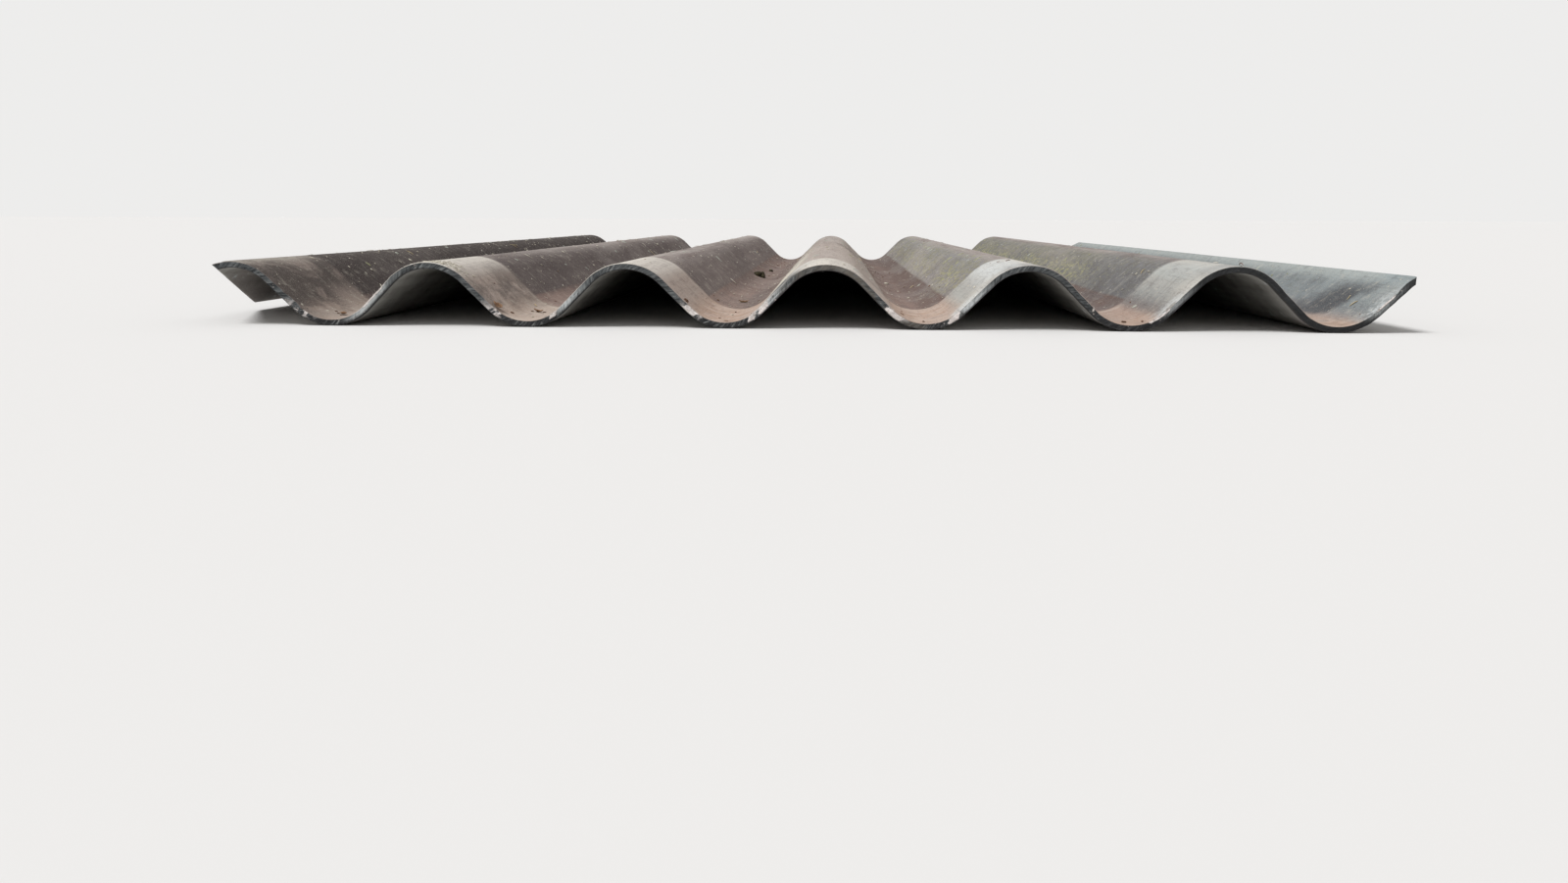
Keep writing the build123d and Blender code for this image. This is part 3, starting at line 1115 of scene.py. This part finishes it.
def leaf_bit(name, x_mm, y_mm, length, width, aim, curl, seed, material):
    """A scrap of dead leaf: a pointed oval grid, bowed up along its length and across it by parabolas,
    creased by a noise, with a thickness of a third of a millimetre."""
    grid = (17, 11)
    u, v = np.meshgrid(*(np.linspace(-1, 1, count) for count in grid), indexing="ij")
    half_width = width / 2 * np.sqrt(1 - (0.97 * u) ** 2) * (1 + 0.18 * np.sin(9 * u + seed))
    crease = 0.12 * width * smooth_noise(u, v, 0.3, 0.35, seed)
    up = 0.0006 + curl * (u**2 + 0.6 * v**2 * (1 - u**2)) + np.abs(crease)
    places = turned(*at([x_mm], [y_mm]), length / 2 * u, half_width * v, radians(aim))
    faces = quads(np.arange(u.size).reshape(grid))
    piece = new_object(name, on_weather_face(*places, up), faces, [material])
    wall = piece.modifiers.new("leaf_thickness", "SOLIDIFY")
    wall.thickness, wall.offset = 0.0003, 0.0
    part_of_sheet(piece)


pale_scale = crumb_finish("pale_scale", (0.46, 0.41, 0.33), (0.74, 0.7, 0.6))
pale_crumbs()
crest_scale(count=520)
pale_strands()
edge_crust(count=3600)
seen_marks()
grass_straws()
brown_litter()
yellow_crust = lichen_finish("yellow_lichen", (0.27, 0.27, 0.16), (0.42, 0.42, 0.26), (0.58, 0.57, 0.42))
grey_crust = lichen_finish("grey_lichen", (0.33, 0.34, 0.3), (0.48, 0.5, 0.44), (0.68, 0.7, 0.62))
lichen_crusts("yellow_lichens", 3000, on_shaded_flanks, size=0.0036, seed=51, material=yellow_crust)
lichen_crusts("grey_lichens", 420, on_open_rises, size=0.005, seed=55, material=grey_crust)
dark_moss = lichen_finish("dark_moss", (0.022, 0.018, 0.012), (0.065, 0.055, 0.028), (0.15, 0.14, 0.07))
moss_clump("moss_clump", -61, -36, size=0.026, height=0.0062, seed=61, material=dark_moss)
moss_clump("moss_bit", -55, 161, size=0.01, height=0.003, seed=63, material=dark_moss)
oak_leaf = crumb_finish("dead_leaf", (0.19, 0.105, 0.06), (0.37, 0.235, 0.15))
for letter, *shape in (
    ("a", -250.5, -757, 0.012, 0.008, 65, 0.003, 3),
    ("b", -231, -686, 0.01, 0.006, 20, 0.0018, 5),
    ("c", -46, -532, 0.013, 0.006, 10, 0.0016, 7),
    ("d", -405, -722, 0.009, 0.006, 110, 0.0015, 9),
):
    leaf_bit("leaf_scrap_" + letter, *shape, oak_leaf)


# The floor, the light and the camera
def level_floor(half_side):
    """A square of plain pale floor at the sheet's lowest level."""
    side = np.array([-half_side, half_side])
    corners = side_by_side(side[:, None], side, sheet_low.z)
    pale = {"Base Color": (0.80, 0.79, 0.78), "Roughness": 0.9, "Specular IOR Level": 0.1}
    material = Paint("studio_floor").shade(pale)
    return new_object("studio_floor", corners, quads(np.arange(4).reshape(2, 2)), [material])


level_floor(half_side=60.0)


def sun(name, towards, strength, spread):
    """A distant lamp that shines along the given direction, as soft as its spread in degrees."""
    lamp = bpy.data.lights.new(name, "SUN")
    lamp.energy = strength
    lamp.angle = radians(spread)
    made = bpy.data.objects.new(name, lamp)
    made.rotation_mode = "QUATERNION"
    made.rotation_quaternion = Vector(towards).to_track_quat("-Z", "Y")
    bpy.context.scene.collection.objects.link(made)


def soft_sky(light, background):
    """A plain white sky that lights the sheet at one level and shows at another."""
    world = bpy.data.worlds.new("soft_sky")
    world.use_nodes = True
    bpy.context.scene.world = world
    tree = world.node_tree
    rays = tree.nodes.new("ShaderNodeLightPath")
    seen = rays.outputs["Is Camera Ray"]
    for clear_path in ("Is Glossy Ray", "Is Transmission Ray"):
        either = tree.nodes.new("ShaderNodeMath")
        either.operation = "MAXIMUM"
        tree.links.new(seen, either.inputs[0])
        tree.links.new(rays.outputs[clear_path], either.inputs[1])
        seen = either.outputs[0]
    level = tree.nodes.new("ShaderNodeMapRange")
    tree.links.new(seen, level.inputs["Value"])
    level.inputs["To Min"].default_value = light
    level.inputs["To Max"].default_value = background
    tree.links.new(level.outputs[0], tree.nodes["Background"].inputs["Strength"])
    tree.nodes["Background"].inputs["Color"].default_value = (1.0, 0.995, 0.985, 1.0)


sun("window_side", towards=(0.40, 0.22, -0.88), strength=pi * 0.76, spread=22)
soft_sky(light=0.40, background=0.85)


def photo_camera():
    """The photograph's camera, from the vanishing point of the waves and the sizes of the front edge."""
    photo_width = 1600
    focal_length = 1158.6
    place = Vector((0.0511, -1.7631, 0.0970))
    turn, dip, roll = radians(-2.47), radians(11.18), radians(0.20)
    forward = Vector((sin(turn) * cos(dip), cos(turn) * cos(dip), -sin(dip)))
    level_right = Vector((cos(turn), -sin(turn), 0))
    level_up = level_right.cross(forward)
    right = level_right * cos(roll) + level_up * sin(roll)
    up = level_up * cos(roll) - level_right * sin(roll)
    camera = bpy.data.objects.new("photo_camera", bpy.data.cameras.new("photo_camera"))
    camera.data.sensor_width = 36.0
    camera.data.lens = camera.data.sensor_width * focal_length / photo_width
    camera.data.clip_start, camera.data.clip_end = 0.01, 200.0
    facing = Matrix((right, up, -forward)).transposed().to_4x4()
    camera.matrix_world = Matrix.Translation(place) @ facing
    bpy.context.scene.collection.objects.link(camera)
    bpy.context.scene.camera = camera


photo_camera()
bpy.context.scene.view_settings.view_transform = "Standard"
